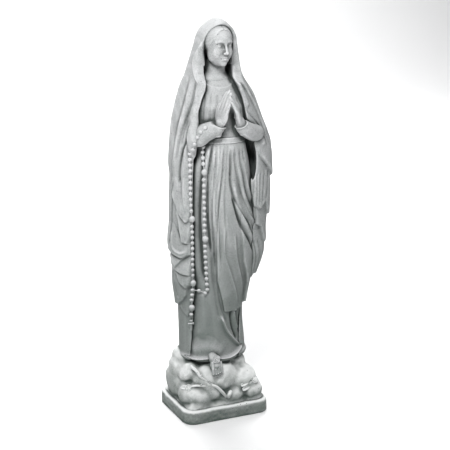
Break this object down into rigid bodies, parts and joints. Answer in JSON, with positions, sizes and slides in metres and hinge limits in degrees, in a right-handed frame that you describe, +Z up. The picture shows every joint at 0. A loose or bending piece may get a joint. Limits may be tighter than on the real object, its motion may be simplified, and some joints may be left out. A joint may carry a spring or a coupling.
{
  "type": "madonna statue",
  "caption": "Standing praying madonna in cast stone, veiled, with a rosary over the forearm, on a rockwork base and plinth.",
  "frame": {"origin": "centre of the plinth's flat underside", "axes": "+Z up, the figure faces -Y, its own right hand is on the -X side"},
  "size_m": [0.3229, 0.2914, 1.22],
  "materials": {
    "figure_stone": "fine-grained cast stone, matt, weathered grey",
    "base_stone": "cast stone, matt, darker on upright faces",
    "steel": "plain drawn bar"
  },
  "bodies": {
    "root": {"left_foot": "figure_stone", "foot_rose": "figure_stone", "gown": "figure_stone", "sash_band": "figure_stone", "sash_tails": "figure_stone", "mantle": "figure_stone", "right_drape_fall": "figure_stone", "left_drape_fall": "figure_stone", "right_sleeve": "figure_stone", "left_sleeve": "figure_stone", "right_hand": "figure_stone", "left_hand": "figure_stone", "head": "figure_stone", "rosary_small_beads": "figure_stone", "rosary_large_beads": "figure_stone", "rosary_cord": "figure_stone", "rosary_cross": "figure_stone", "plinth": "base_stone", "rock_mound": "base_stone", "briar_stem": "base_stone", "briar_blossoms": "base_stone", "briar_leaves": "base_stone", "core_bar": "steel", "head_dowel": "steel", "hand_dowels": "steel", "plinth_dowels": "steel"}
  },
  "joints": []
}
